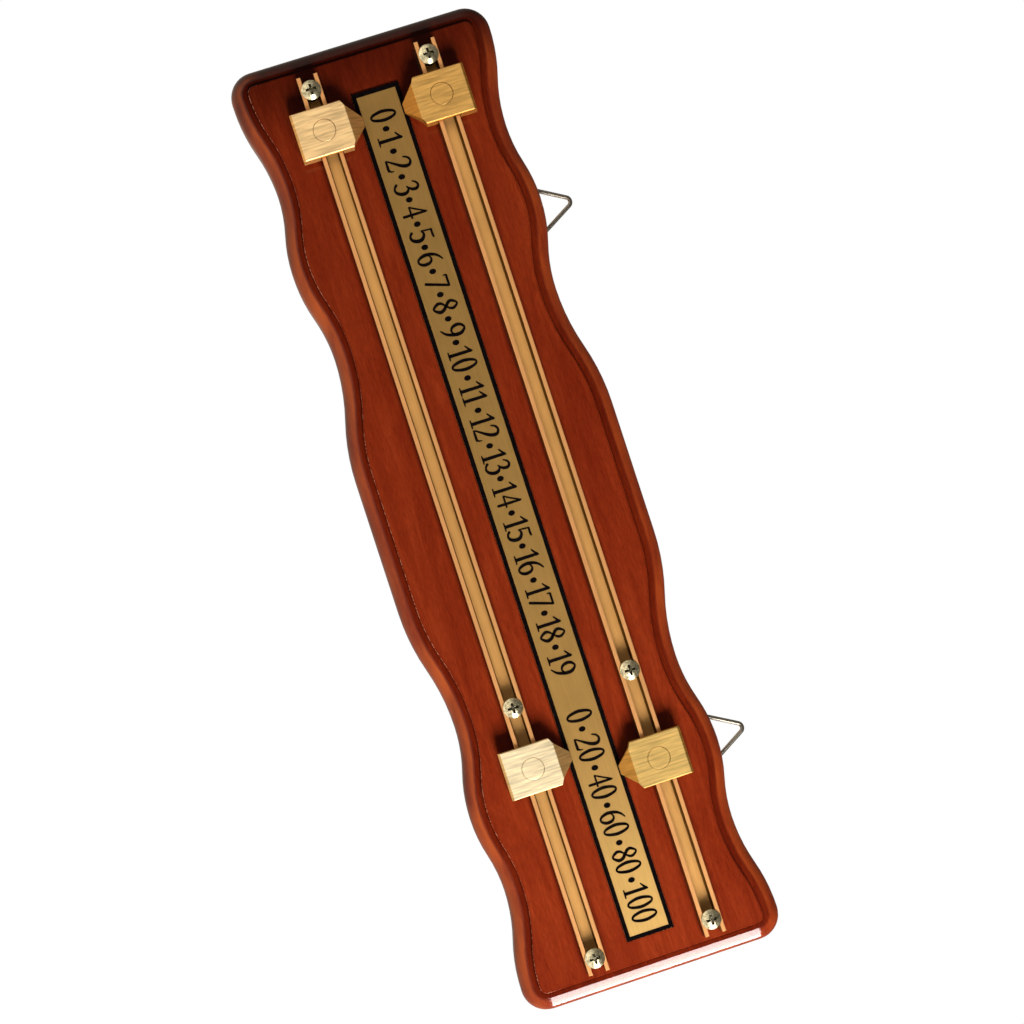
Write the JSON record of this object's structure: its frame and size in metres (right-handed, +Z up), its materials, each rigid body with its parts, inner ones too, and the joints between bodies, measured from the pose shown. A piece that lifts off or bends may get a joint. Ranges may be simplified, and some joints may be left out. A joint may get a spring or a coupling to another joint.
{
  "type": "billiard scoreboard",
  "caption": "Wall-hung wooden scoreboard with a number strip and two channel rails that carry sliding pointers.",
  "frame": {"origin": "centre of the wooden board's back face, the side that hangs against the wall", "axes": "+X along the board from 0 towards 100, +Z up as it hangs, -Y out of the wall towards the reader"},
  "size_m": [0.381, 0.0266, 0.1156],
  "materials": {
    "board_wood": "red-brown stain under gloss lacquer",
    "strip_metal": "satin gold plate with black border and figures",
    "rail_metal": "gold anodised, satin",
    "pointer_metal": "brushed towards the point, lacquered",
    "stud_metal": "turned, brushed with the pointer's face",
    "screw_metal": "bright nickel plate",
    "hanger_steel": "zinc plated sheet",
    "ring_wire": "dull plated wire"
  },
  "bodies": {
    "board": {"backboard": "board_wood", "number_strip": "strip_metal", "upper_rail": "rail_metal", "lower_rail": "rail_metal", "upper_rail_screws": "screw_metal", "lower_rail_screws": "screw_metal", "left_hanger_strap": "hanger_steel", "left_hanger_screw": "hanger_steel", "right_hanger_strap": "hanger_steel", "right_hanger_screw": "hanger_steel"},
    "upper_units_slider": {"upper_units_pointer": "pointer_metal", "upper_units_stud": "stud_metal"},
    "upper_twenties_slider": {"upper_twenties_pointer": "pointer_metal", "upper_twenties_stud": "stud_metal"},
    "lower_units_slider": {"lower_units_pointer": "pointer_metal", "lower_units_stud": "stud_metal"},
    "lower_twenties_slider": {"lower_twenties_pointer": "pointer_metal", "lower_twenties_stud": "stud_metal"},
    "left_ring": {"left_hanger_ring": "ring_wire"},
    "right_ring": {"right_hanger_ring": "ring_wire"}
  },
  "joints": [
    {"name": "upper_units_slide", "type": "slide", "parent": "board", "child": "upper_units_slider", "axis": [1, 0, 0], "range_m": [-0.0031, 0.21845]},
    {"name": "upper_twenties_slide", "type": "slide", "parent": "board", "child": "upper_twenties_slider", "axis": [1, 0, 0], "range_m": [-0.022, 0.05175]},
    {"name": "lower_units_slide", "type": "slide", "parent": "board", "child": "lower_units_slider", "axis": [1, 0, 0], "range_m": [-0.0033, 0.21825]},
    {"name": "lower_twenties_slide", "type": "slide", "parent": "board", "child": "lower_twenties_slider", "axis": [1, 0, 0], "range_m": [-0.011, 0.06275]},
    {"name": "left_ring_swing", "type": "hinge", "parent": "board", "child": "left_ring", "pos_m": [-0.108, 0.00171, 0.0453], "axis": [-1, 0, 0], "range_deg": [-8, 174]},
    {"name": "right_ring_swing", "type": "hinge", "parent": "board", "child": "right_ring", "pos_m": [0.1102, 0.00171, 0.0453], "axis": [-1, 0, 0], "range_deg": [-8, 174]}
  ]
}
